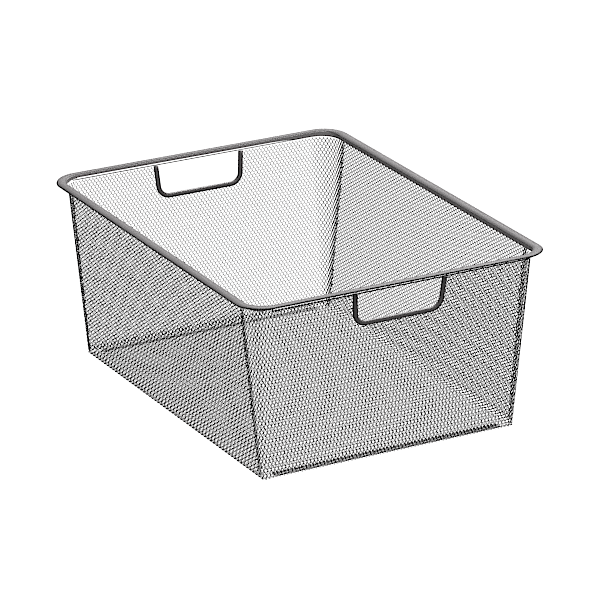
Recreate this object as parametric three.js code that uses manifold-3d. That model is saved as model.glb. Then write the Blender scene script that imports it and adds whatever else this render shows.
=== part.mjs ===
// Mesh drawer basket: a crowned steel rim with a sheet-mesh body hung under it.
// Millimetres, +Z up, origin at the middle of the underside.
// X runs along the two handle ends, Y along the two runner sides.
import * as THREE from "three";
import { mergeVertices } from "three/addons/utils/BufferGeometryUtils.js";
import Module from "manifold-3d";

// ---- driving dimensions ------------------------------------------------
const RIM_W = 332; // over the rim, across the handle ends
const RIM_D = 436; // over the rim, along the runner sides
const HEIGHT = 187; // underside to rim crown
const RIM_R = 28; // outer corner radius of the rim
const RIM_SIDE = 10.4; // band width on the runner sides
const RIM_END = 6.5; // band width on the handle ends
const RIM_IN_R = 20; // inner corner radius of the rim
const RIM_UNDER = 184.2; // flat ledge under the band, outside the mesh
const RIM_SEAT = 184.35; // underside of the band above the mesh edge
const GAP = 0.3; // clearance between pieces that are welded or pressed together

const SHEET = 1.2; // mesh sheet thickness
const BASE_W = 280.5; // outside of the body at the underside
const BASE_D = 383.5;
const BASE_R = 4; // corner radius of the body at the underside
const TOP_W = 316; // outside of the body under the rim
const TOP_D = 422;
const TOP_R = 26;
const BODY_TOP = RIM_UNDER - GAP; // level the body is measured at
const BEND_R = 5; // outside bend between the runner sides and the bottom
const LAP = 10; // fold of each end panel over the wrapped sheet
const PANEL_TOP = 180.1; // top edge of the end panels

const BAND_H = 2.0; // flange under the rim's inner edge
const BAND_T = 0.8;
const BAND_TURN = 79; // degrees of each corner that a flange runs round
const ROD_D = 1.4; // thin rod along the top of an end panel
const ROD_LEN = 279;
const ROD_Z = 180.8; // leaves a slit between rod and rim
const ROD_BEND = 1.3; // its ends turn up to the rim

const HANDLE_D = 4.6; // handle rod
const HANDLE_TOP = 97.6; // leg to leg at the top, centre to centre
const HANDLE_LOW = 92.6; // leg to leg above the bends
const HANDLE_Z = 147.8; // centre of the grip bar
const HANDLE_BEND = 12; // centreline bend radius

// ---- body outline ------------------------------------------------------
const mix = (a, b, t) => a + (b - a) * t;
const halfW = (z) => mix(BASE_W, TOP_W, z / BODY_TOP) / 2;
const halfD = (z) => mix(BASE_D, TOP_D, z / BODY_TOP) / 2;
const cornerR = (z) => mix(BASE_R, TOP_R, z / BODY_TOP);

// ---- helpers -----------------------------------------------------------
// A closed surface from a grid of points: rows x columns, wrapped as asked.
function gridSurface(rows, wrapRows, wrapCols) {
  const n = rows.length,
    m = rows[0].length,
    index = [];
  const at = (i, j) => (i % n) * m + (j % m);
  for (let i = 0; i < (wrapRows ? n : n - 1); i++)
    for (let j = 0; j < (wrapCols ? m : m - 1); j++)
      index.push(at(i, j), at(i + 1, j), at(i + 1, j + 1), at(i, j), at(i + 1, j + 1), at(i, j + 1));
  const g = new THREE.BufferGeometry();
  g.setAttribute("position", new THREE.Float32BufferAttribute(rows.flat(2), 3));
  g.setIndex(index);
  return g;
}

// A sheet with thickness: outer and inner are grids of points of one size.
function sheet(outer, inner) {
  const n = outer.length,
    m = outer[0].length,
    index = [];
  const o = (i, j) => i * m + j,
    k = (i, j) => n * m + i * m + j;
  const quad = (a, b, c, d) => index.push(a, b, c, a, c, d);
  for (let i = 0; i < n - 1; i++)
    for (let j = 0; j < m - 1; j++) {
      quad(o(i, j), o(i + 1, j), o(i + 1, j + 1), o(i, j + 1));
      quad(k(i, j), k(i, j + 1), k(i + 1, j + 1), k(i + 1, j));
    }
  for (let j = 0; j < m - 1; j++) {
    quad(o(0, j), o(0, j + 1), k(0, j + 1), k(0, j));
    quad(o(n - 1, j + 1), o(n - 1, j), k(n - 1, j), k(n - 1, j + 1));
  }
  for (let i = 0; i < n - 1; i++) {
    quad(o(i + 1, 0), o(i, 0), k(i, 0), k(i + 1, 0));
    quad(o(i, m - 1), o(i + 1, m - 1), k(i + 1, m - 1), k(i, m - 1));
  }
  const g = new THREE.BufferGeometry();
  g.setAttribute("position", new THREE.Float32BufferAttribute([...outer, ...inner].flat(2), 3));
  g.setIndex(index);
  return g;
}

const wasm = await Module();
wasm.setup();
function solid(geometry) {
  const g = geometry.clone();
  g.deleteAttribute("normal");
  g.deleteAttribute("uv");
  const m = mergeVertices(g, 1e-4);
  const made = new wasm.Manifold(
    new wasm.Mesh({
      numProp: 3,
      vertProperties: new Float32Array(m.attributes.position.array),
      triVerts: new Uint32Array(m.index.array),
    }),
  );
  return made;
}
function geometryOf(made) {
  const m = made.getMesh();
  const g = new THREE.BufferGeometry();
  const p = new Float32Array(m.numVert * 3);
  for (let i = 0; i < m.numVert; i++)
    p.set(m.vertProperties.subarray(i * m.numProp, i * m.numProp + 3), i * 3);
  g.setAttribute("position", new THREE.BufferAttribute(p, 3));
  g.setIndex(new THREE.BufferAttribute(new Uint32Array(m.triVerts), 1));
  return g;
}

// Points of a rounded rectangle, anticlockwise, with n steps to a corner.
function roundRect(w, d, r, n) {
  const out = [];
  for (const [sx, sy, a0] of [[1, 1, 0], [-1, 1, 90], [-1, -1, 180], [1, -1, 270]])
    for (let k = 0; k <= n; k++) {
      const a = THREE.MathUtils.degToRad(a0 + (90 * k) / n);
      out.push([sx * (w - r) + r * Math.cos(a), sy * (d - r) + r * Math.sin(a)]);
    }
  return out;
}

// A ring between two outlines, with its section given as [share from outer to inner, height].
function ring(outer, inner, section) {
  return gridSurface(
    outer.map((p, i) => section.map(([s, z]) => [mix(p[0], inner[i][0], s), mix(p[1], inner[i][1], s), z])),
    true,
    true,
  );
}

// ---- materials ---------------------------------------------------------
const coat = (color) => new THREE.MeshStandardMaterial({ color, roughness: 0.45, metalness: 0.35 });

const root = new THREE.Group();
function add(name, geometry, color) {
  const mesh = new THREE.Mesh(geometry, coat(color));
  mesh.name = name;
  root.add(mesh);
  return mesh;
}

// ---- rim band ----------------------------------------------------------
// One crowned band bent into a rounded rectangle; its flat underside rests on drawer runners.
const CORNER_STEPS = 8;
add(
  "rim_band",
  ring(
    roundRect(RIM_W / 2, RIM_D / 2, RIM_R, CORNER_STEPS),
    roundRect(RIM_W / 2 - RIM_SIDE, RIM_D / 2 - RIM_END, RIM_IN_R, CORNER_STEPS),
    [
      [0.03, RIM_UNDER],
      [0, 184.7],
      [0.05, 185.5],
      [0.2, 186.45],
      [0.5, HEIGHT],
      [0.8, 186.45],
      [0.95, 185.5],
      [1, 184.7],
      [0.97, RIM_SEAT],
      [0.735, RIM_SEAT],
      [0.73, RIM_UNDER],
    ],
  ),
  0x8a8788,
);

// ---- inner flanges -----------------------------------------------------
// Two narrow upright strips under the rim's inner edge: each runs along a runner side and round both its corners.
// The handle ends have none, so light shows between the rim and the end rods.
const bandX = RIM_W / 2 - RIM_SIDE,
  bandY = RIM_D / 2 - RIM_END;
function flangeLine(grow) {
  // right side, from the front end round to the back end
  const w = bandX + grow,
    d = bandY + grow,
    r = RIM_IN_R + grow,
    out = [];
  for (const [sy, a0] of [[-1, -BAND_TURN], [1, 0]])
    for (let k = 0; k <= CORNER_STEPS; k++) {
      const a = THREE.MathUtils.degToRad(a0 + (BAND_TURN * k) / CORNER_STEPS);
      out.push([w - r + r * Math.cos(a), sy * (d - r) + r * Math.sin(a)]);
    }
  return out;
}
const flangeSide = (grow) => flangeLine(grow).map(([x, y]) => [[x, y, BODY_TOP - BAND_H], [x, y, BODY_TOP]]);
const flange = sheet(flangeSide(BAND_T), flangeSide(0));
add("inner_band_right", flange, 0x77757a);
const leftFlange = add("inner_band_left", flange.clone(), 0x77757a);
leftFlange.rotation.z = Math.PI;

// ---- wrapped mesh sheet: runner side, bottom, runner side ---------------
function wrapPath(inset) {
  const out = [],
    steps = 6;
  const wallTop = [halfW(BODY_TOP) - inset, BODY_TOP];
  // wall line leans outwards; the bend is tangent to the wall and to the bottom
  const lean = Math.atan2(halfW(BODY_TOP) - halfW(0), BODY_TOP);
  const r = BEND_R - inset;
  const turn = Math.PI / 2 - lean;
  // bend centre: BEND_R above the underside and BEND_R inside the wall plane
  const cx = halfW(0) + BEND_R * Math.tan(lean) - BEND_R / Math.cos(lean),
    cz = BEND_R;
  for (const s of [1, 0.66, 0.33]) {
    const z = mix(cz + r * Math.sin(lean) * -1, wallTop[1], s);
    out.push([halfW(z) - inset / Math.cos(lean), z]);
  }
  for (let k = 0; k <= steps; k++) {
    const a = -lean - (turn * k) / steps;
    out.push([cx + r * Math.cos(a), cz + r * Math.sin(a)]);
  }
  const right = out.map(([x, z]) => [x, z]);
  const left = [...out].reverse().map(([x, z]) => [-x, z]);
  return [...right, [0, inset], ...left];
}
// the bottom runs out under the end panels; above the bend the ends stop short of the upright corners
const wrapEnd = (z) => halfD(z) - mix(0.6, cornerR(z) + 0.2, Math.min(1, z / BEND_R));
const wrapOuter = wrapPath(0),
  wrapInner = wrapPath(SHEET);
const wrapRow = (path, levels) =>
  path.map(([x, z], i) => [-1, 0, 1].map((t) => [x, t * wrapEnd(levels[i]), z]));
const levels = wrapOuter.map(([, z]) => z);
add("mesh_wrap", sheet(wrapRow(wrapOuter, levels), wrapRow(wrapInner, levels)), 0x4b494c);

// ---- end panels --------------------------------------------------------
// Each end panel bends round the two upright corners, laps inside the runner
// sides, and turns in over the bottom. The handle opening is cut from its top edge.
const LOW = 7.2; // where the corner bends start above the bottom bend
function panelRow(z, inset) {
  // outline of an end panel at a height, from one lap round to the other, facing -Y
  const w = halfW(z) - SHEET - GAP - inset,
    d = halfD(z) - inset,
    r = cornerR(z) - inset - 0.4,
    steps = 5,
    out = [];
  const lapY = -(d - r) + LAP;
  out.push([-w, lapY]);
  for (let k = 0; k <= steps; k++) {
    const a = Math.PI + (Math.PI / 2) * (k / steps);
    out.push([-w + r + r * Math.cos(a), -d + r + r * Math.sin(a)]);
  }
  out.push([0, -d]);
  for (let k = 0; k <= steps; k++) {
    const a = 1.5 * Math.PI + (Math.PI / 2) * (k / steps);
    out.push([w - r + r * Math.cos(a), -d + r + r * Math.sin(a)]);
  }
  out.push([w, lapY]);
  return out.map(([x, y]) => [x, y, z]);
}
const bodyZ = [PANEL_TOP, mix(LOW, PANEL_TOP, 0.5), LOW];
const panelBody = sheet(
  bodyZ.map((z) => panelRow(z, 0)),
  bodyZ.map((z) => panelRow(z, SHEET)),
);

// the turned-in foot of a panel, over the bottom of the wrapped sheet
const FOOT_Z = SHEET + GAP; // underside of the fold
const tilt = Math.atan2(halfD(BODY_TOP) - halfD(0), BODY_TOP);
function footPath(inset, up) {
  const out = [],
    r = 3 - inset,
    cz = FOOT_Z + 3,
    cy = -(halfD(cz) - 3 / Math.cos(tilt)),
    steps = 4;
  out.push([-(halfD(up) - inset / Math.cos(tilt)), up]);
  for (let k = 0; k <= steps; k++) {
    const a = Math.PI + tilt + (Math.PI / 2 - tilt) * (k / steps);
    out.push([cy + r * Math.cos(a), cz + r * Math.sin(a)]);
  }
  out.push([-halfD(0) + LAP + 3, FOOT_Z + inset]);
  return out;
}
const footX = BASE_W / 2 - 8;
const footRows = (inset) => footPath(inset, LOW + 3).map(([y, z]) => [[-footX, y, z], [footX, y, z]]);
const panelFoot = sheet(footRows(0.05), footRows(SHEET - 0.05));

// centreline of a handle in its own plane: across, and up from the underside
function handleOutline(grow, top) {
  const half = (z) => mix(HANDLE_LOW, HANDLE_TOP, (z - HANDLE_Z) / (PANEL_TOP - HANDLE_Z)) / 2 + grow;
  const low = HANDLE_Z - grow,
    r = HANDLE_BEND + grow,
    zc = low + r,
    out = [];
  const steps = 6;
  out.push([-half(top), top]);
  for (let k = 0; k <= steps; k++) {
    const a = Math.PI + (Math.PI / 2) * (k / steps);
    out.push([-half(zc) + r + r * Math.cos(a), zc + r * Math.sin(a)]);
  }
  for (let k = 0; k <= steps; k++) {
    const a = 1.5 * Math.PI + (Math.PI / 2) * (k / steps);
    out.push([half(zc) - r + r * Math.cos(a), zc + r * Math.sin(a)]);
  }
  out.push([half(top), top]);
  return out;
}
// the opening: everything inside the handle rod, out to its far side
const cutLine = handleOutline(HANDLE_D / 2 + GAP, PANEL_TOP + 6);
const cutFace = (y) => cutLine.map(([x, z]) => [x, y, z]);
function prism(a, b) {
  const shape = new THREE.Shape(a.map(([x, , z]) => new THREE.Vector2(x, z)));
  const g = new THREE.ExtrudeGeometry(shape, { depth: Math.abs(b[0][1] - a[0][1]), bevelEnabled: false });
  g.rotateX(Math.PI / 2); // shape plane XZ, swept along -Y
  g.translate(0, Math.max(a[0][1], b[0][1]), 0);
  return g;
}
const cutter = prism(cutFace(-190), cutFace(-230));
const endPanel = geometryOf(solid(panelBody).add(solid(panelFoot)).subtract(solid(cutter)));
add("mesh_front", endPanel, 0x4b494c);
const backPanel = add("mesh_back", endPanel.clone(), 0x4b494c);
backPanel.rotation.z = Math.PI;

// ---- handles -----------------------------------------------------------
// A U of round rod in the plane of the end panel, its legs ending behind the end rod.
function rodAlong(points, diameter, sides) {
  // rings square to the path, with flat end caps
  const r = diameter / 2,
    n = points.length,
    rows = [];
  const normal = new THREE.Vector3(0, 1, 0);
  for (let i = 0; i < n; i++) {
    const before = points[Math.max(0, i - 1)],
      after = points[Math.min(n - 1, i + 1)];
    const t = after.clone().sub(before).normalize();
    const u = normal.clone().addScaledVector(t, -normal.dot(t)).normalize();
    const v = t.clone().cross(u);
    const row = [];
    for (let k = 0; k < sides; k++) {
      const a = (2 * Math.PI * (k + 0.5)) / sides;
      const p = points[i].clone().addScaledVector(u, r * Math.cos(a)).addScaledVector(v, r * Math.sin(a));
      row.push([p.x, p.y, p.z]);
    }
    rows.push(row);
  }
  const m = sides,
    index = [],
    flat = rows.flat(2);
  for (let i = 0; i < n - 1; i++)
    for (let k = 0; k < m; k++) {
      const a = i * m + k,
        b = i * m + ((k + 1) % m),
        c = (i + 1) * m + ((k + 1) % m),
        d = (i + 1) * m + k;
      index.push(a, b, c, a, c, d);
    }
  for (let k = 1; k < m - 1; k++) {
    index.push(0, k + 1, k);
    const e = (n - 1) * m;
    index.push(e, e + k, e + k + 1);
  }
  const g = new THREE.BufferGeometry();
  g.setAttribute("position", new THREE.Float32BufferAttribute(flat, 3));
  g.setIndex(index);
  return g;
}
const midPlane = (z) => -(halfD(z) - SHEET / 2);
const handlePath = handleOutline(0, PANEL_TOP).map(([x, z]) => new THREE.Vector3(x, midPlane(z), z));
const handleShape = rodAlong(handlePath, HANDLE_D, 12);
add("handle_front", handleShape, 0x3d3b3e);
const handleBack = add("handle_back", handleShape.clone(), 0x3d3b3e);
handleBack.rotation.z = Math.PI;

// ---- end rods ----------------------------------------------------------
// Thin rods below the rim on the handle ends, along the top of each panel and its handle; their ends turn up to the rim.
const rodY = RIM_D / 2 - RIM_END / 2;
function rodLine() {
  const half = ROD_LEN / 2,
    zc = ROD_Z + ROD_BEND,
    steps = 4,
    out = [[-half, BODY_TOP]];
  for (let k = 0; k <= steps; k++) {
    const a = Math.PI + (Math.PI / 2) * (k / steps);
    out.push([-half + ROD_BEND * (1 + Math.cos(a)), zc + ROD_BEND * Math.sin(a)]);
  }
  return [...out, ...[...out].reverse().map(([x, z]) => [-x, z])];
}
const rodShape = rodAlong(rodLine().map(([x, z]) => new THREE.Vector3(x, -rodY, z)), ROD_D, 12);
add("end_rod_front", rodShape, 0x3d3b3e);
const rodBack = add("end_rod_back", rodShape.clone(), 0x3d3b3e);
rodBack.rotation.z = Math.PI;

export default root;
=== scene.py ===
import math

import bpy
import numpy as np
from mathutils import Matrix, Vector


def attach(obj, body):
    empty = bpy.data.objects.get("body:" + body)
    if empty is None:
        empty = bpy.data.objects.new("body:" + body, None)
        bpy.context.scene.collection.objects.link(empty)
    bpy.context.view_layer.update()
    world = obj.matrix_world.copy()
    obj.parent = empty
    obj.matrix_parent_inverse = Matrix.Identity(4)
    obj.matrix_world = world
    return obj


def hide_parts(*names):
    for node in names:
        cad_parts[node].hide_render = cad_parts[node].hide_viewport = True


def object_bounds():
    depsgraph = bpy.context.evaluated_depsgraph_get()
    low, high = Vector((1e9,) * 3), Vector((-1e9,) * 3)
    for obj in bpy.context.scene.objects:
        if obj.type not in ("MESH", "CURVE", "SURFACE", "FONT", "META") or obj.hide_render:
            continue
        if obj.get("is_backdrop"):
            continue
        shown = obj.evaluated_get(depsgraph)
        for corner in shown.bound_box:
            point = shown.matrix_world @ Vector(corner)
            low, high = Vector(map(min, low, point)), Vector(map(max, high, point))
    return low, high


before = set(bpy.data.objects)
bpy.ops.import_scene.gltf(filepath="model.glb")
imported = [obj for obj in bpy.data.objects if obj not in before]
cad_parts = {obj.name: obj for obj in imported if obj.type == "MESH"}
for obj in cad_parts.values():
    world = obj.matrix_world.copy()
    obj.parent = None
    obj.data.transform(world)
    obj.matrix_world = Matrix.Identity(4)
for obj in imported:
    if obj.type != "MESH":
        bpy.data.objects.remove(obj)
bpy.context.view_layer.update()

# ------------------------------------------------------------------ sizes, mm
MM = 0.001
RIM_W, RIM_D, HEIGHT, RIM_R = 332.0, 436.0, 187.0, 28.0
RIM_SIDE, RIM_END, RIM_IN_R = 10.4, 6.5, 20.0
RIM_UNDER, RIM_SEAT = 184.2, 184.35
BASE_W, BASE_D, BASE_R = 280.5, 383.5, 4.0
TOP_W, TOP_D, TOP_R = 316.0, 422.0, 26.0
BODY_TOP = 183.9
BEND_R = 5.0
LAP = 10.0
PANEL_TOP = 180.1
SHEET = 1.2
GAP = 0.3
BAND_H, BAND_T, BAND_TURN = 2.0, 0.8, 79.0
ROD_D, ROD_LEN, ROD_Z, ROD_BEND = 1.4, 279.0, 180.8, 1.3
HANDLE_D, HANDLE_TOP, HANDLE_LOW = 4.6, 97.6, 92.6
HANDLE_Z, HANDLE_BEND = 147.8, 12.0
BACK_SHIFT = 1.5  # the back handle sits a little off the middle

# expanded metal: long way and short way of a diamond, centre to centre
LWD, SWD = 6.3, 3.9
BOND, BOND_W, BOND_T = 1.5, 1.3, 0.31  # length, width and thickness of a bond
STRAND_T = 0.235  # thickness of a strand half way between bonds
BOND_TILT = math.radians(60)  # how far a bond is turned out of the sheet


def half_w(z):
    return (BASE_W + (TOP_W - BASE_W) * z / BODY_TOP) / 2


def half_d(z):
    return (BASE_D + (TOP_D - BASE_D) * z / BODY_TOP) / 2


def corner_r(z):
    return BASE_R + (TOP_R - BASE_R) * z / BODY_TOP


# ---------------------------------------------------------------- mesh helpers
def make_object(name, verts, faces, material, smooth=True, uv=None):
    """verts (n, 3) in mm; faces is a list of index arrays, each (m, k)."""
    me = bpy.data.meshes.new(name)
    verts = np.asarray(verts, np.float32) * MM
    me.vertices.add(len(verts))
    me.vertices.foreach_set("co", verts.ravel())
    counts = np.concatenate([np.full(len(f), f.shape[1], np.int32) for f in faces])
    loops = np.concatenate([np.asarray(f, np.int32).ravel() for f in faces])
    starts = np.concatenate([[0], np.cumsum(counts)[:-1]]).astype(np.int32)
    me.loops.add(len(loops))
    me.loops.foreach_set("vertex_index", loops)
    me.polygons.add(len(counts))
    me.polygons.foreach_set("loop_start", starts)
    me.polygons.foreach_set("loop_total", counts)
    me.polygons.foreach_set("use_smooth", np.full(len(counts), smooth))
    if uv is not None:
        layer = me.uv_layers.new(name="OFBake")
        layer.data.foreach_set("uv", np.asarray(uv, np.float32)[loops].ravel())
    me.update(calc_edges=True)
    me.validate()
    ob = bpy.data.objects.new(name, me)
    bpy.context.scene.collection.objects.link(ob)
    me.materials.append(material)
    return ob


def finish_piece(ob, slot, *nodes):
    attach(ob, "root")
    if nodes:
        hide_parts(*nodes)
    return ob


def round_rect(w, d, r, n, straight=24):
    """Outline of a rounded rectangle, anticlockwise from the right side, with steps along the straights too."""
    pts = []
    corners = [(1, 1, 0), (-1, 1, 90), (-1, -1, 180), (1, -1, 270)]
    for k, (sx, sy, a0) in enumerate(corners):
        cx, cy = sx * (w - r), sy * (d - r)
        for i in range(n + 1):
            a = math.radians(a0 + 90.0 * i / n)
            pts.append((cx + r * math.cos(a), cy + r * math.sin(a)))
        nx, ny, na = corners[(k + 1) % 4]
        end = np.array([nx * (w - r), ny * (d - r)]) + r * np.array(
            [math.cos(math.radians(na)), math.sin(math.radians(na))]
        )
        start = np.array(pts[-1])
        for i in range(1, straight):
            pts.append(tuple(start + (end - start) * i / straight))
    return np.array(pts)


def ring(name, outer, inner, sections, material):
    """A closed ring: sections holds, for each point of the outline, points (share from outer to inner, z) that go round
    clockwise seen along the ring."""
    n, m = sections.shape[:2]
    v = np.empty((n, m, 3))
    v[:, :, :2] = outer[:, None] + (inner - outer)[:, None] * sections[:, :, :1]
    v[:, :, 2] = sections[:, :, 1]
    i = np.arange(n)[:, None]
    j = np.arange(m)[None, :]
    a, b = i * m + j, ((i + 1) % n) * m + j
    c, d = ((i + 1) % n) * m + (j + 1) % m, i * m + (j + 1) % m
    q = np.stack([a, b, c, d], -1).reshape(-1, 4)
    return make_object(name, v.reshape(-1, 3), [q], material)


def strip(name, outer, inner, section, material, short=0.0, lift=0.0):
    """As ring, but along an open stretch of outline, with closed ends and one section all along. short is the share of
    the section's height that is missing below and lift is height added on top, one number for all points or one per
    point."""
    s = np.array(section)
    n, m = len(outer), len(section)
    top = s[:, 1].max()
    v = np.empty((n, m, 3))
    v[:, :, :2] = outer[:, None] + (inner - outer)[:, None] * s[None, :, :1]
    lift = np.broadcast_to(lift, n)[:, None]
    part = (top - s[None, :, 1]) / (top - s[:, 1].min())
    v[:, :, 2] = top + lift - part * (lift + (top - s[:, 1].min()) * (1 - np.broadcast_to(short, n))[:, None])
    i, j = np.arange(n - 1)[:, None], np.arange(m)[None]
    a, b = i * m + j, (i + 1) * m + j
    c, d = (i + 1) * m + (j + 1) % m, i * m + (j + 1) % m
    q = np.stack([a, b, c, d], -1).reshape(-1, 4)
    caps = np.stack([np.arange(m), (n - 1) * m + np.arange(m)[::-1]])
    return make_object(name, v.reshape(-1, 3), [q, caps], material)


def tube(name, path, radii, material, sides=24, hint=(0.0, 1.0, 0.0)):
    """A round bar along a path, closed at its ends; radii is one number per point."""
    path = np.asarray(path, float)
    n = len(path)
    t = np.gradient(path, axis=0)
    t /= np.linalg.norm(t, axis=1)[:, None]
    u = np.asarray(hint, float)[None] - (t @ np.asarray(hint, float))[:, None] * t
    u /= np.linalg.norm(u, axis=1)[:, None]
    w = np.cross(t, u)
    a = 2 * math.pi * np.arange(sides) / sides
    r = np.asarray(radii, float)[:, None, None]
    v = path[:, None] + r * (np.cos(a)[None, :, None] * u[:, None] + np.sin(a)[None, :, None] * w[:, None])
    v = v.reshape(-1, 3)
    i, k = np.arange(n - 1)[:, None], np.arange(sides)[None]
    q = np.stack(
        [i * sides + k, i * sides + (k + 1) % sides, (i + 1) * sides + (k + 1) % sides, (i + 1) * sides + k], -1
    ).reshape(-1, 4)
    caps = [np.arange(sides)[::-1][None], (np.arange(sides) + (n - 1) * sides)[None]]
    return make_object(name, v, [q, *caps], material)


# ------------------------------------------------------------ expanded metal
def lattice(holes, place, pieces, tilt):
    """Closed pieces of expanded metal. holes is an (n, 2) array of whole numbers i, j with i + j even: a hole's centre
    lies at i * LWD / 2 along the long way and j * SWD / 2 along the short way. place(p, q, n) gives points in space for
    long way p, short way q and height n over the sheet. pieces maps (p, q) of a bond or strand to the number of the
    piece it belongs to. tilt(p, q) gives how far bonds and strands are turned out of the sheet, the widths of strands and
    bonds, and the share of the full thickness.
    Returns one (verts, faces, uv) per piece."""
    real = {(int(i), int(j)) for i, j in holes}
    every, bonds = set(real), set()
    for i, j in real:
        every.update(((i + 1, j + 1), (i - 1, j + 1), (i + 1, j - 1), (i - 1, j - 1)))
        bonds.update(((i + 1, j), (i - 1, j), (i, j + 1), (i, j - 1)))
    for i, j in bonds:
        every.update(((i + 1, j), (i - 1, j), (i, j + 1), (i, j - 1)))
    order = sorted(every)
    number = {h: k for k, h in enumerate(order)}
    sa, sb = [], []
    for i, j in order:
        for di, out in ((1, sa), (-1, sb)):
            other = (i + di, j + 1)
            if other in number and ((i, j) in real or other in real):
                out.append((number[i, j], number[other]))
    sa, sb = np.array(sa), np.array(sb)
    # round a hole: right, up right, top right, top left, up left, left, low left, bottom left, bottom right, low right
    R, UR, TR, TL, UL, L, LL, BL, BR, LR = range(10)
    hl, bt = (LWD - BOND) / 2, BOND * 0.34
    cen = np.array(order, float) * [LWD / 2, SWD / 2]
    bond_a, strand_a, wide, broad, gauge = (np.asarray(t)[:, None] for t in tilt(cen[:, 0], cen[:, 1]))
    bond_q, bond_n = broad / 2 * np.cos(bond_a), broad / 2 * np.sin(bond_a)
    hs = SWD / 2 - bond_q
    run = math.hypot(LWD, SWD)
    side_p = wide / 2 * np.cos(strand_a) * SWD / run
    side_q = wide / 2 * np.cos(strand_a) * LWD / run
    side_n = wide / 2 * np.sin(strand_a)
    mp, mq = LWD / 4 - side_p, SWD / 4 - side_q
    o = np.ones_like(wide)
    dp = np.concatenate([hl * o, mp, bt * o, -bt * o, -mp, -hl * o, -mp, -bt * o, bt * o, mp], 1)
    dq = np.concatenate([0 * o, mq, hs, hs, mq, 0 * o, -mq, -hs, -hs, -mq], 1)
    dn = np.concatenate([0 * o, -side_n, -bond_n, -bond_n, -side_n, 0 * o, side_n, bond_n, bond_n, side_n], 1)
    mid = np.zeros(10, bool)
    mid[[UR, UL, LL, LR]] = True
    turn = np.where(mid, strand_a, bond_a)
    half = np.where(mid, STRAND_T / 2, BOND_T / 2) * gauge
    p, q = (cen[:, :1] + dp).ravel(), (cen[:, 1:] + dq).ravel()
    # the sheet's own normal leans with the metal: +q rises with +n, so the face turns towards -q
    tq, tn = (-half * np.sin(turn)).ravel(), (half * np.cos(turn)).ravel()
    top = place(p, q + tq, dn.ravel() + tn)
    low = place(p, q - tq, dn.ravel() - tn)
    quads = np.concatenate(
        [
            np.stack([sa[:, 0] * 10 + R, sa[:, 1] * 10 + BL, sa[:, 1] * 10 + LL, sa[:, 0] * 10 + UR], 1),
            np.stack([sa[:, 0] * 10 + UR, sa[:, 1] * 10 + LL, sa[:, 1] * 10 + L, sa[:, 0] * 10 + TR], 1),
            np.stack([sb[:, 0] * 10 + TL, sb[:, 1] * 10 + R, sb[:, 1] * 10 + LR, sb[:, 0] * 10 + UL], 1),
            np.stack([sb[:, 0] * 10 + UL, sb[:, 1] * 10 + LR, sb[:, 1] * 10 + BR, sb[:, 0] * 10 + L], 1),
        ]
    )
    where_q = np.concatenate([(cen[sa[:, 0]] + cen[sa[:, 1]]) / 2] * 2 + [(cen[sb[:, 0]] + cen[sb[:, 1]]) / 2] * 2)
    around = ((-1, 0, R), (0, -1, TL), (0, -1, TR), (1, 0, L), (0, 1, BR), (0, 1, BL))
    bonds = sorted(bonds)
    hexes = np.array([[number[i + di, j + dj] * 10 + c for di, dj, c in around] for i, j in bonds])
    where_h = np.array(bonds, float) * [LWD / 2, SWD / 2]
    of_q, of_h = pieces(where_q[:, 0], where_q[:, 1]), pieces(where_h[:, 0], where_h[:, 1])
    total = len(order) * 10
    verts = np.concatenate([top, low])
    flat = np.stack([np.concatenate([p, p + 0.18]), np.concatenate([q, q + 0.18])], 1)
    out = []
    for piece in range(int(max(of_q.max(), of_h.max())) + 1):
        fq, fh = quads[of_q == piece], hexes[of_h == piece]
        # edges used by one face only become the walls of the holes and the cut border
        edges = np.concatenate([np.stack([f, np.roll(f, -1, 1)], -1).reshape(-1, 2) for f in (fq, fh)]).astype(np.int64)
        free = edges[~np.isin(edges[:, 0] * total + edges[:, 1], edges[:, 1] * total + edges[:, 0])]
        walls = np.stack([free[:, 1], free[:, 0], free[:, 0] + total, free[:, 1] + total], 1)
        faces = [fq, fh, fq[:, ::-1] + total, fh[:, ::-1] + total, walls]
        used = np.zeros(len(verts), bool)
        for f in faces:
            used[f.ravel()] = True
        new = np.cumsum(used) - 1
        lo, hi = flat[used].min(0), flat[used].max(0)
        uv = (flat[used] - lo) / (hi - lo).max() * 0.98 + 0.01
        out.append((verts[used], [new[f] for f in faces], uv))
    return out


# the wrapped sheet: its middle line across the basket, measured from the middle of the bottom
LEAN = math.atan2(half_w(BODY_TOP) - half_w(0), BODY_TOP)
BEND_X = half_w(0) + BEND_R * math.tan(LEAN) - BEND_R / math.cos(LEAN)
WRAP_IN = 0.74  # middle of the sheet, in from the outside face
BEND_LEN = (BEND_R - WRAP_IN) * (math.pi / 2 - LEAN)
WALL_X0 = BEND_X + (BEND_R - WRAP_IN) * math.cos(LEAN)
WALL_Z0 = BEND_R - (BEND_R - WRAP_IN) * math.sin(LEAN)
WALL_LEN = (BODY_TOP - WALL_Z0) / math.cos(LEAN)
WRAP_HALF = BEND_X + BEND_LEN + WALL_LEN


def wrap_xz(q):
    s = np.abs(q)
    a = np.clip((s - BEND_X) / (BEND_R - WRAP_IN), 0, math.pi / 2 - LEAN)
    up = np.maximum(s - BEND_X - BEND_LEN, 0)
    r = BEND_R - WRAP_IN
    x = np.where(s < BEND_X, s, BEND_X + r * np.sin(a) + up * math.sin(LEAN))
    z = np.where(s < BEND_X, WRAP_IN, BEND_R - r * np.cos(a) + up * math.cos(LEAN))
    nx = np.sin(a)
    nz = -np.cos(a)
    sign = np.where(q < 0, -1.0, 1.0)
    return x * sign, z, nx * sign, nz


def wrap_place(p, q, n):
    x, z, nx, nz = wrap_xz(q)
    return np.stack([x + n * nx, p, z + n * nz], 1)


def wrap_end(z):
    f = np.clip(z / BEND_R, 0, 1)
    return half_d(z) - (0.6 + (corner_r(z) - 0.4) * f)


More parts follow.
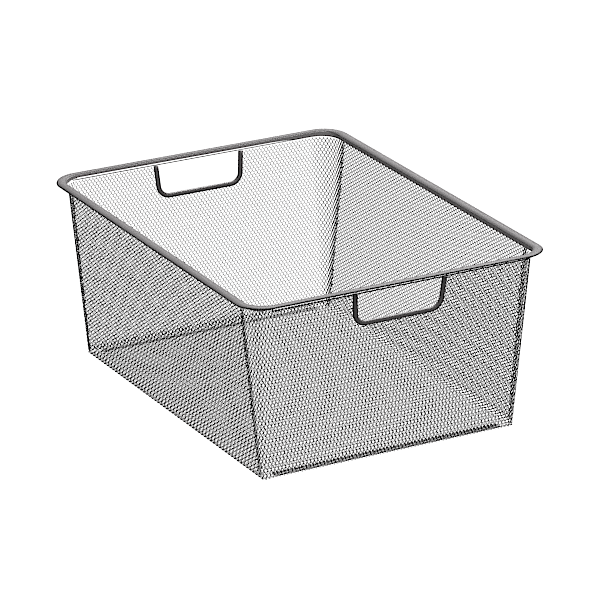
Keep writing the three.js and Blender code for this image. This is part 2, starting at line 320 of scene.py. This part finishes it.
# an end panel: its middle surface, long way up, short way across
PANEL_IN = 0.66
TILT_D = math.atan2(half_d(BODY_TOP) - half_d(0), BODY_TOP)
FOLD_R = 3.0 - PANEL_IN
FOLD_Z = SHEET + GAP + 3.0  # centre of the fold
FOLD_Y = half_d(FOLD_Z) - 3.0 / math.cos(TILT_D)
PLANE_Z0 = FOLD_Z - FOLD_R * math.sin(TILT_D)
PLANE_Y0 = FOLD_Y + FOLD_R * math.cos(TILT_D)
FOLD_LEN = FOLD_R * (math.pi / 2 - TILT_D)


def panel_half(z):
    """Half width, half depth and corner radius of the panel's middle surface at a height."""
    z = np.maximum(z, 0.0)
    w = half_w(z) - SHEET - GAP - PANEL_IN
    lift = np.clip(BEND_R - z, 0, BEND_R - SHEET)
    inner = BEND_X + np.sqrt(np.maximum((BEND_R - SHEET) ** 2 - lift**2, 0)) - GAP - PANEL_IN
    w = np.where(z < BEND_R, np.minimum(w, inner), w)
    d = PLANE_Y0 + (z - PLANE_Z0) * math.tan(TILT_D)
    r = np.maximum(corner_r(z) - 1.0, 2.2)
    return w, d, r


def panel_point(p, q):
    z = PLANE_Z0 + np.where(p < 0, 0.8 * p, p) * math.cos(TILT_D)
    z = np.maximum(z, 1.3)
    w, d, r = panel_half(z)
    s = np.abs(q)
    flat = w - r
    a = np.clip((s - flat) / r, 0, math.pi / 2)
    lap = np.maximum(s - flat - r * math.pi / 2, 0)
    x = np.minimum(s, flat) + r * np.sin(a)
    y = d - r + r * np.cos(a) - lap
    # the fold and the foot below the flat; at the corners the sheet runs straight down
    below = np.maximum(-p, 0)
    b = np.clip(below / FOLD_R, 0, math.pi / 2 - TILT_D)
    foot = np.maximum(below - FOLD_LEN, 0)
    yf = FOLD_Y + FOLD_R * np.cos(TILT_D + b) - foot
    zf = FOLD_Z - FOLD_R * np.sin(TILT_D + b)
    f = np.where(p < 0, np.clip((flat - s) / 5, 0, 1), 0.0)
    y = y + (yf - y) * f
    z = z + (zf - z) * f
    return np.stack([x * np.where(q < 0, -1.0, 1.0), -y, z], 1)


def panel_place(p, q, n):
    e = 0.05
    at = panel_point(p, q)
    dp = panel_point(p + e, q) - panel_point(p - e, q)
    dq = panel_point(p, q + e) - panel_point(p, q - e)
    normal = np.cross(dq, dp)
    normal /= np.linalg.norm(normal, axis=1)[:, None]
    return at + normal * n[:, None]


# handle line in its own plane: across and up
def handle_half(z):
    return (HANDLE_LOW + (HANDLE_TOP - HANDLE_LOW) * (z - HANDLE_Z) / (PANEL_TOP - HANDLE_Z)) / 2


def handle_line(top, steps=14):
    pts = []
    zc = HANDLE_Z + HANDLE_BEND
    for z in np.linspace(top, zc + 0.5, 8):
        pts.append((-handle_half(z), z))
    for k in range(steps + 1):
        a = math.pi + math.pi / 2 * k / steps
        pts.append((-handle_half(zc) + HANDLE_BEND * (1 + math.cos(a)), zc + HANDLE_BEND * math.sin(a)))
    x0 = handle_half(zc) - HANDLE_BEND
    for x in np.linspace(-x0, x0, 14)[1:-1]:
        pts.append((x, HANDLE_Z))
    for k in range(steps + 1):
        a = 1.5 * math.pi + math.pi / 2 * k / steps
        pts.append((handle_half(zc) - HANDLE_BEND * (1 - math.cos(a)), zc + HANDLE_BEND * math.sin(a)))
    for z in np.linspace(zc + 0.5, top, 8):
        pts.append((handle_half(z), z))
    return np.array(pts)


def outside_handle(x, z):
    """Distance out past the handle's centre line, negative inside the opening."""
    line = handle_line(PANEL_TOP + 12)
    a, b = line[:-1], line[1:]
    ab = b - a
    pt = np.stack([x, z], 1)
    t = np.clip(((pt[:, None] - a) * ab).sum(2) / (ab**2).sum(1), 0, 1)
    d = np.linalg.norm(pt[:, None] - (a + t[..., None] * ab), axis=2).min(1)
    zc = HANDLE_Z + HANDLE_BEND
    inside = (z > HANDLE_Z) & (np.abs(x) < handle_half(z))
    k = (z < zc) & (np.abs(x) > handle_half(zc) - HANDLE_BEND)
    cx = handle_half(zc) - HANDLE_BEND
    inside &= ~(k & (np.hypot(np.abs(x) - cx, z - zc) > HANDLE_BEND))
    return np.where(inside, -d, d)


# ------------------------------------------------------------------ materials
def coat(name, dark, light, rough, grain=1.0, metallic=0.0, spec=0.5, painted_shade=None):
    """Powder-coated steel: fine speckle, faint clouding, orange-peel bump and uneven gloss. The last argument, named
    like the attribute it reads, is the share of the colour left where that attribute is 1: painted shade, darker where
    it is marked."""
    m = bpy.data.materials.new(name)
    m.use_nodes = True
    nt = m.node_tree
    nt.nodes.clear()
    out = nt.nodes.new("ShaderNodeOutputMaterial")
    b = nt.nodes.new("ShaderNodeBsdfPrincipled")
    nt.links.new(b.outputs[0], out.inputs[0])
    tc = nt.nodes.new("ShaderNodeTexCoord")

    def noise(scale, detail, rough_=0.5):
        n = nt.nodes.new("ShaderNodeTexNoise")
        n.inputs["Scale"].default_value = scale
        n.inputs["Detail"].default_value = detail
        n.inputs["Roughness"].default_value = rough_
        nt.links.new(tc.outputs["Object"], n.inputs["Vector"])
        return n

    cloud = noise(26.0, 3.0, 0.55)
    speck = noise(2600.0 / grain, 2.0, 0.6)
    ramp = nt.nodes.new("ShaderNodeValToRGB")
    ramp.color_ramp.elements[0].position = 0.3
    ramp.color_ramp.elements[0].color = (*dark, 1)
    ramp.color_ramp.elements[1].position = 0.72
    ramp.color_ramp.elements[1].color = (*light, 1)
    add = nt.nodes.new("ShaderNodeMath")
    add.operation = "MULTIPLY_ADD"
    nt.links.new(speck.outputs["Fac"], add.inputs[0])
    add.inputs[1].default_value = 0.62
    half = nt.nodes.new("ShaderNodeMath")
    half.operation = "MULTIPLY"
    nt.links.new(cloud.outputs["Fac"], half.inputs[0])
    half.inputs[1].default_value = 0.38
    nt.links.new(half.outputs[0], add.inputs[2])
    nt.links.new(add.outputs[0], ramp.inputs["Fac"])
    if painted_shade is None:
        nt.links.new(ramp.outputs["Color"], b.inputs["Base Color"])
    else:
        edge = nt.nodes.new("ShaderNodeAttribute")
        edge.attribute_name = "painted_shade"
        fade = nt.nodes.new("ShaderNodeMapRange")
        fade.inputs["From Min"].default_value = 0.0
        fade.inputs["From Max"].default_value = 1.0
        fade.inputs["To Min"].default_value = 1.0
        fade.inputs["To Max"].default_value = painted_shade
        nt.links.new(edge.outputs["Fac"], fade.inputs["Value"])
        scale = nt.nodes.new("ShaderNodeVectorMath")
        scale.operation = "SCALE"
        nt.links.new(ramp.outputs["Color"], scale.inputs[0])
        nt.links.new(fade.outputs["Result"], scale.inputs["Scale"])
        nt.links.new(scale.outputs[0], b.inputs["Base Color"])
    rr = nt.nodes.new("ShaderNodeMapRange")
    rr.inputs["From Min"].default_value = 0.3
    rr.inputs["From Max"].default_value = 0.7
    rr.inputs["To Min"].default_value = rough - 0.06
    rr.inputs["To Max"].default_value = rough + 0.08
    nt.links.new(cloud.outputs["Fac"], rr.inputs["Value"])
    nt.links.new(rr.outputs["Result"], b.inputs["Roughness"])
    peel = noise(900.0 / grain, 2.0, 0.5)
    bump = nt.nodes.new("ShaderNodeBump")
    bump.inputs["Strength"].default_value = 0.16
    bump.inputs["Distance"].default_value = 0.00025
    nt.links.new(peel.outputs["Fac"], bump.inputs["Height"])
    nt.links.new(bump.outputs["Normal"], b.inputs["Normal"])
    b.inputs["Metallic"].default_value = metallic
    b.inputs["Specular IOR Level"].default_value = spec
    return m


# painted shade: the rim's outer edge is darkened to 0.36 of its colour through its attribute
MAT_RIM = coat("rim_coat", (0.165, 0.158, 0.16), (0.24, 0.231, 0.234), 0.48, spec=0.16, painted_shade=0.36)
# a much lighter copy of the rim coat: painted light on the shaded flanges and turned-down lips under the rim; painted
# shade takes it down to 0.7 where the flange attribute marks it
MAT_LIP_PAINTED_LIGHT = coat("rim_lip_coat_painted_light", (0.5, 0.482, 0.486), (0.62, 0.598, 0.603), 0.5, spec=0.2, painted_shade=0.7)
MAT_ROD = coat("rod_coat", (0.2, 0.19, 0.192), (0.29, 0.278, 0.28), 0.4, spec=0.35)
MAT_MESH = coat("mesh_coat", (0.0235, 0.0188, 0.0178), (0.0395, 0.0317, 0.030), 0.5, spec=0.12)

# ------------------------------------------------------------------------ rim
N_CORNER = 28
outer = round_rect(RIM_W / 2, RIM_D / 2, RIM_R, N_CORNER)
inner = round_rect(RIM_W / 2 - RIM_SIDE, RIM_D / 2 - RIM_END, RIM_IN_R, N_CORNER)


def rim_section(crown, power, root, under):
    """Crowned top, then from the inner edge down, back under the band and up the outer edge."""
    pts = []
    for k in range(41):
        u = -math.cos(math.pi * k / 40)
        pts.append((0.5 + 0.5 * u, crown + (HEIGHT - crown) * (1 - abs(u) ** power) ** root))
    drop = under - RIM_UNDER
    pts += [(0.995, 184.46 + drop), (0.98, 184.37 + drop), (0.955, RIM_SEAT + drop), (0.74, RIM_SEAT + drop)]
    pts += [(0.73, under), (0.06, under), (0.025, under + 0.07), (0.006, under + 0.22)]
    return np.array(pts[::-1])


def ease(f):
    f = np.clip(f, 0, 1)
    return f * f * (3 - 2 * f)


# rounder on the runner sides, flatter on the handle ends, thinner at the front
front = ease((-outer[:, 1] - 188) / 26)[:, None, None]
rear = ease((outer[:, 1] - 188) / 26)[:, None, None]
sections = rim_section(184.62, 2.1, 0.62, RIM_UNDER) * (1 - front - rear)
sections = sections + rim_section(185.2, 3.2, 0.6, RIM_UNDER) * rear + rim_section(185.5, 2.0, 0.5, 185.15) * front
inner[:, 1] += 1.7 * front[:, 0, 0]
rim = ring("rim", outer, inner, sections, MAT_RIM)
share = sections[:, :, 0]
# painted shade: this attribute darkens the rim's outer edge, over a wider band at the front
painted_shade = rim.data.attributes.new("painted_shade", "FLOAT", "POINT")
wide_painted_shade = front[:, :, 0]
painted_shade.data.foreach_set("value", (ease((0.13 + 0.1 * wide_painted_shade - share) / (0.12 + 0.07 * wide_painted_shade)) * (0.86 + 0.14 * wide_painted_shade)).ravel())
finish_piece(rim, "rim_coat", "rim_band")

# a flange under the rim's inner edge on each runner side, round both its corners
def flange_line(grow, back):
    """back is the end, -1 or 1, where the flange runs on into the turned-down edge of the rim."""
    w, d, r = RIM_W / 2 - RIM_SIDE + grow, RIM_D / 2 - RIM_END + grow, RIM_IN_R + grow
    pts = []
    for sy in (-1, 1):
        turn = 90.0 if sy == back else BAND_TURN
        for k in range(N_CORNER + 1):
            a = math.radians(min(sy, 0) * turn + turn * k / N_CORNER)
            pts.append((w - r + r * math.cos(a), sy * (d - r) + r * math.sin(a)))
        if sy < 0:
            for y in np.linspace(-(d - r), d - r, 26)[1:-1]:
                pts.append((w, y))
    return np.array(pts)


def flange_section(lo, hi):
    sec = [(0.0, lo + 0.25), (0.0, hi - 0.25), (0.3, hi), (0.7, hi), (1.0, hi - 0.25)]
    for k in range(1, 6):
        f = k / 6
        sec.append((1.0 - 0.12 * math.sin(math.pi * f), hi - 0.25 - (hi - lo - 0.5) * f))
    return (sec + [(1.0, lo + 0.22), (1.0, lo + 0.07), (0.92, lo), (0.3, lo)])[::-1]


for k, side in ((1, "right"), (-1, "left")):
    sec = flange_section(BODY_TOP - BAND_H - 1.1, BODY_TOP + 0.4)
    line = flange_line(0, k)
    turned_by = np.degrees(np.arccos(np.clip((line[:, 0] - RIM_W / 2 + RIM_SIDE + RIM_IN_R) / RIM_IN_R, -1, 1)))
    taper = np.where(line[:, 1] * k > 0, 0.0 if side == "right" else 0.4, 0.4)
    # at the back it rises to meet the turned-down edge there
    back_end = ease((line[:, 1] * k - 190) / 20)
    line = line + (flange_line(-0.15, k) - line) * back_end[:, None]
    band = strip(
        "inner_band_strip_" + side, flange_line(BAND_T, k) * k, line * k, sec, MAT_LIP_PAINTED_LIGHT, taper * ease((turned_by - 48) / 28), 1.5 * back_end
    )
    # painted shade: this attribute darkens the flange along the straight runner side and fades out round the corners
    shade = band.data.attributes.new("painted_shade", "FLOAT", "POINT")
    shade.data.foreach_set("value", np.repeat(1 - ease((turned_by - 10) / 35), len(sec)))
    finish_piece(band, "rim_coat", "inner_band_" + side)

# the rim's inner edge is turned down a little on the handle ends
xs = np.linspace(RIM_W / 2 - RIM_SIDE - RIM_IN_R + 5, -(RIM_W / 2 - RIM_SIDE - RIM_IN_R + 5), 40)
lip = np.stack([xs, np.full(len(xs), RIM_D / 2 - RIM_END)], 1)
for k, end, lo, hi, back_in, rise in ((1, "back", 181.0, 185.8, 0.15, 0.33), (-1, "front", 184.6, 186.2, 1.4, 0.0)):
    edge = lip - [0, back_in]
    short = rise * (1 - ease((xs - 85) / 50)) + 0.25 * rise * ease(0.5 - xs / 260)
    ob = strip("rim_lip_" + end, (edge + [0, BAND_T]) * k, edge * k, flange_section(lo, hi), MAT_LIP_PAINTED_LIGHT, short)
    finish_piece(ob, "rim_coat", "rim_band")

# end rods and handles
rod_y = RIM_D / 2 - RIM_END / 2
for sign, end, low, high, thick in ((-1, "front", 181.9, 183.0, 1.2), (1, "back", 179.75, 180.05, 0.75)):
    path, radii = [], []
    for dz, f in ((0.0, 0.45), (0.1, 0.8), (0.3, 1.0), (0.9, 1.0)):
        path.append((-ROD_LEN / 2, BODY_TOP - dz))
        radii.append(f * thick / 2)
    for k in range(9):
        a = math.pi + math.pi / 2 * k / 8
        path.append((-ROD_LEN / 2 + ROD_BEND * (1 + math.cos(a)), ROD_Z + ROD_BEND * (1 + math.sin(a))))
        radii.append(thick / 2)
    for x in np.linspace(-ROD_LEN / 2 + ROD_BEND, 0, 30)[1:]:
        path.append((x, ROD_Z))
        radii.append(thick / 2)
    path = path + [(-x, z) for x, z in path[-2::-1]]
    radii = radii + radii[-2::-1]
    path = np.array(path)
    shift = low + (high - low) * (path[:, 0] / ROD_LEN + 0.5) - ROD_Z
    path[:, 1] += shift * np.clip((BODY_TOP - path[:, 1]) / (BODY_TOP - ROD_Z), 0, 1)
    rod = tube("rim_rod_" + end, [(x, sign * rod_y, z) for x, z in path], radii, MAT_ROD, 20)
    finish_piece(rod, "rod_coat", "end_rod_" + end)

    line = handle_line(PANEL_TOP + 0.2)
    pts = np.stack([line[:, 0] + max(sign, 0) * BACK_SHIFT, sign * (half_d(line[:, 1]) - SHEET / 2), line[:, 1]], 1)
    grip = tube("handle_rod_" + end, pts, np.full(len(pts), HANDLE_D / 2 + 0.15), MAT_ROD, 28)
    finish_piece(grip, "rod_coat", "handle_" + end)

# ------------------------------------------------------------- wrapped sheet
jmax = int(WRAP_HALF / (SWD / 2)) + 2
imax = int(200 / (LWD / 2)) + 2
ii, jj = np.meshgrid(np.arange(-imax, imax + 1), np.arange(-jmax, jmax + 1), indexing="ij")
ok = (ii + jj) % 2 == 0
ii, jj = ii[ok], jj[ok]
p, q = ii * LWD / 2, jj * SWD / 2
x, z, nx, nz = wrap_xz(q)
keep = (np.abs(p) < wrap_end(z) - 2.2) & (np.abs(q) < WRAP_HALF - 1.6)
ii, jj, q = ii[keep], jj[keep], q[keep]
WALL_Q = BEND_X + BEND_LEN  # where a side wall begins
HALF_UP = WALL_Q + WALL_LEN * 0.52


def wrap_piece(p, q):
    return np.digitize(q, [-HALF_UP, -BEND_X, 0.97, BEND_X, HALF_UP])


def wrap_tilt(p, q):
    """Angles and strand width: the walls keep the raised strands; the bottom is rolled flatter."""
    f = np.clip((np.abs(q) - BEND_X + 6) / 12, 0, 1)
    turn, wide = np.where(q < 0, WALL_STRAND[0], WALL_STRAND[1]), np.where(q < 0, WALL_WIDE[0], WALL_WIDE[1])
    bond = FLOOR_BOND + (np.where(q < 0, WALL_BOND[0], WALL_BOND[1]) - FLOOR_BOND) * f
    strand, wide = FLOOR_STRAND + (turn - FLOOR_STRAND) * f, FLOOR_WIDE + (wide - FLOOR_WIDE) * f
    slim = 1 - np.where(q > 0, 0.5, 0.0) * 4 * f * (1 - f)  # drawn out in the right bend
    return bond, strand, wide * slim, BOND_W * slim, FLOOR_GAUGE + (1 - FLOOR_GAUGE) * f


FLOOR_BOND, FLOOR_STRAND, FLOOR_WIDE, FLOOR_GAUGE = math.radians(38), math.radians(28), 0.4, 0.8
WALL_BOND, WALL_STRAND = (math.radians(-40), math.radians(-54)), (math.radians(-29), math.radians(-74))
WALL_WIDE = (0.65, 0.64)
names = ["mesh_left_upper", "mesh_left_lower", "mesh_bottom_left", "mesh_bottom_right", "mesh_right_lower", "mesh_right_upper"]
for name, (v, f, uv) in zip(names, lattice(np.stack([ii, jj], 1), wrap_place, wrap_piece, wrap_tilt)):
    ob = make_object(name, v, f, MAT_MESH, uv=uv)
    finish_piece(ob, "mesh_coat", "mesh_wrap")

# ---------------------------------------------------------------- end panels
P0 = (177.0 - PLANE_Z0) / math.cos(TILT_D) % (LWD / 2)  # the rows end at the right height under the rim
pmax = (PANEL_TOP + 4 - PLANE_Z0) / math.cos(TILT_D)
imax = int((pmax + 30) / (LWD / 2)) + 2
jmax = int(190 / (SWD / 2)) + 2
ii, jj = np.meshgrid(np.arange(-8, imax + 1), np.arange(-jmax, jmax + 1), indexing="ij")
ok = (ii + jj) % 2 == 0
ii, jj = ii[ok], jj[ok]
p, q = ii * LWD / 2 + P0, jj * SWD / 2
z = PLANE_Z0 + np.maximum(p, 0) * math.cos(TILT_D)
w, d, r = panel_half(z)
flat = w - r
keep = z < 177.4
keep &= (p > 0.3) | ((np.abs(q) < BASE_W / 2 - 16.5) & (p > -(FOLD_LEN + LAP - 3)))


def panel_tilt(press, slim, wide, turned_out, leans):
    """Angles and widths: raised strands, pressed flatter in the fold at the bottom edge, and leaning the other way round
    the upright corners."""

    def angles(p, q):
        w, d, r = panel_half(PLANE_Z0 + np.maximum(p + P0, 0) * math.cos(TILT_D))
        out = np.abs(q) - (w - r)
        turn = r * math.pi / 2
        arc = ease(out / (0.3 * turn)) * (1 - ease((out - turn + 1.5) / 3))
        g = ease((out - 0.42 * turn) / (0.25 * turn)) * (1 - ease((out - turn + 1.5) / 3))
        fold = np.clip((6.0 - np.abs(p + P0 + 1.5)) / 4, 0, 1)
        f = press * fold
        lean = np.radians(np.where(q < 0, *leans))
        bond = -BOND_TILT * (1 - f) * (1 - g) + lean * g
        strand = -math.radians(turned_out) * (1 - f) * (1 - g) + lean * g
        thick = (wide + 0.25 * f) * (1 - slim * fold)
        thick = thick + (np.minimum(thick, 0.55) - thick) * ease(out / (0.3 * turn))
        return bond, strand, thick, BOND_W * (1 - 0.4 * arc) * (1 - 0.7 * slim * fold), np.ones(len(q))

    return angles


turned = np.array([-1.0, -1.0, 1.0])
for end, others, laps, press, slim, wide, turned_out, leans in (
    ("front", ("left", "right"), (LAP - 4.5, LAP - 4.5), 0.06, 0.65, 1.22, 62, (28, 28)),
    ("back", ("right", "left"), (LAP - 3.5, LAP - 7.0), 0.7, 0.0, 0.52, 51, (-26, 28)),
):
    holes = keep & (np.abs(q) < flat + r * math.pi / 2 + np.where(q < 0, *laps))
    off = BACK_SHIFT if end == "back" else 0.0
    holes &= outside_handle(q + off, z) > np.where(z > HANDLE_Z + 2, 1.9, 2.9)
    sheet = lattice(
        np.stack([ii[holes], jj[holes]], 1),
        lambda p, q, n: panel_place(p + P0, q, n),
        lambda p, q: (q > 0.97).astype(int),
        panel_tilt(press, slim, wide, turned_out, leans),
    )
    for side, (v, f, uv) in zip(others, sheet):
        ob = make_object(f"mesh_{end}_{side}", v if end == "front" else v * turned, f, MAT_MESH, uv=uv)
        finish_piece(ob, "mesh_coat", "mesh_" + end)

# --------------------------------------------------------------------- stage
floor_mat = bpy.data.materials.new("floor_white")
floor_mat.use_nodes = True
fb = floor_mat.node_tree.nodes["Principled BSDF"]
fb.inputs["Base Color"].default_value = (0, 0, 0, 1)
fb.inputs["Specular IOR Level"].default_value = 0.0
fb.inputs["Emission Color"].default_value = (1, 1, 1, 1)
fb.inputs["Emission Strength"].default_value = 1.08
fm = bpy.data.meshes.new("floor")
fm.from_pydata([(-6, -6, -0.0004), (6, -6, -0.0004), (6, 6, -0.0004), (-6, 6, -0.0004)], [], [(0, 1, 2, 3)])
floor = bpy.data.objects.new("floor", fm)
floor.data.materials.append(floor_mat)
bpy.context.scene.collection.objects.link(floor)
floor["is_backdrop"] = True
floor.visible_diffuse = False
floor.visible_glossy = False

world = bpy.data.worlds.new("studio")
bpy.context.scene.world = world
world.use_nodes = True
bg = world.node_tree.nodes["Background"]
bg.inputs["Color"].default_value = (1, 1, 1, 1)
bg.inputs["Strength"].default_value = 0.18


def area(name, loc, target, size, power):
    l = bpy.data.lights.new(name, "AREA")
    l.shape = "RECTANGLE"
    l.size, l.size_y = size
    l.energy = power
    o = bpy.data.objects.new(name, l)
    bpy.context.scene.collection.objects.link(o)
    o.location = loc
    o.rotation_mode = "QUATERNION"
    o.rotation_quaternion = (Vector(target) - Vector(loc)).to_track_quat("-Z", "Y")
    o.visible_camera = False
    return o


area("softbox_key", (1.05, 1.05, 1.95), (0, 0, 0.15), (1.4, 1.4), 80)
area("card_front", (-0.2, -0.5, 1.1), (0, 0.1, 0.16), (0.8, 0.6), 3)

# -------------------------------------------------------------------- camera
F_PX, AZ, EL, ROLL, DIST, TX, TY = 4507.25, -28.345, 20.947, -0.407, 4478.32, 4.757, 0.313
az, el, ro = math.radians(AZ), math.radians(EL), math.radians(ROLL)
back = Vector((math.sin(az) * math.cos(el), -math.cos(az) * math.cos(el), math.sin(el)))
right0 = Vector((math.cos(az), math.sin(az), 0))
up0 = back.cross(right0)
right = math.cos(ro) * right0 + math.sin(ro) * up0
up = -math.sin(ro) * right0 + math.cos(ro) * up0
loc = (Vector((0, 0, 95)) + right * TX + up * TY + back * DIST) * MM
cam_data = bpy.data.cameras.new("camera")
cam_data.sensor_width = 36.0
cam_data.lens = F_PX * 36.0 / 600.0
cam_data.clip_end = 50
cam = bpy.data.objects.new("camera", cam_data)
bpy.context.scene.collection.objects.link(cam)
m = Matrix.Identity(4)
for k, axis in enumerate((right, up, back)):
    for i in range(3):
        m[i][k] = axis[i]
for i in range(3):
    m[i][3] = loc[i]
cam.matrix_world = m
bpy.context.scene.camera = cam
scene = bpy.context.scene
scene.view_settings.view_transform = "Standard"
scene.cycles.use_denoising = False  # it would smear the fine mesh
scene.use_nodes = True
tree = scene.node_tree
tree.nodes.clear()
layer = tree.nodes.new("CompositorNodeRLayers")
crisp = tree.nodes.new("CompositorNodeFilter")
crisp.filter_type = "SHARPEN"
crisp.inputs["Fac"].default_value = 0.09
picture = tree.nodes.new("CompositorNodeComposite")
tree.links.new(layer.outputs["Image"], crisp.inputs["Image"])
tree.links.new(crisp.outputs["Image"], picture.inputs["Image"])

low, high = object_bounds()
